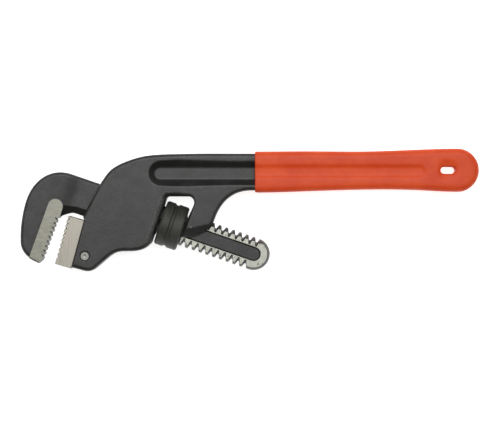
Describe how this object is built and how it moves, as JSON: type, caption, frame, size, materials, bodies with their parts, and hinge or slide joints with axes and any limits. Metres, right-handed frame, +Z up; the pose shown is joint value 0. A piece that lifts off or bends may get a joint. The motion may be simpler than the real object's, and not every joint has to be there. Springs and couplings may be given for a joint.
{
  "type": "pipe wrench",
  "caption": "Offset pipe wrench: forged I-beam handle with a vinyl grip, a hook jaw moved by a ring nut, a pinned heel jaw.",
  "frame": {"origin": "centre of the bounding box in plan, on the surface that the wrench lies on", "axes": "+X along the handle to the grip's end, +Y from the jaws' tips to the handle's back, +Z up, square to the wrench's flat sides"},
  "size_m": [0.3239, 0.0866, 0.0318],
  "materials": {
    "black_paint": "black-painted steel forging",
    "red_vinyl": "dipped vinyl, satin",
    "jaw_steel": "ground bare steel",
    "spring_steel": "oiled spring steel"
  },
  "bodies": {
    "frame": {"handle": "black_paint", "grip": "red_vinyl", "heel_jaw": "jaw_steel", "heel_jaw_pin": "jaw_steel", "spring_rivet": "spring_steel", "coil_spring": "spring_steel"},
    "rocker": {"flat_spring": "spring_steel"},
    "nut": {"adjusting_nut": "black_paint"},
    "jaw": {"hook_jaw": "black_paint"}
  },
  "joints": [
    {"name": "jaw_rock", "type": "hinge", "parent": "frame", "child": "rocker", "pos_m": [-0.0554, -0.0112, 0.016], "axis": [0, 0, 1], "range_deg": [-1.5, 0.75], "stiffness_Nm_per_rad": 30, "deforming": ["flat_spring"]},
    {"name": "nut_spin", "type": "hinge", "parent": "rocker", "child": "nut", "pos_m": [-0.0554, -0.0112, 0.016], "axis": [0.9455, -0.3256, 0], "range_deg": [-93, 3545]},
    {"name": "jaw_slide", "type": "slide", "parent": "rocker", "child": "jaw", "axis": [-0.9455, 0.3256, 0], "range_m": [-0.0013, 0.05]}
  ],
  "couplings": [
    {"joint": "nut_spin", "follows": "jaw_slide", "rad_per_m": 1236.8}
  ]
}
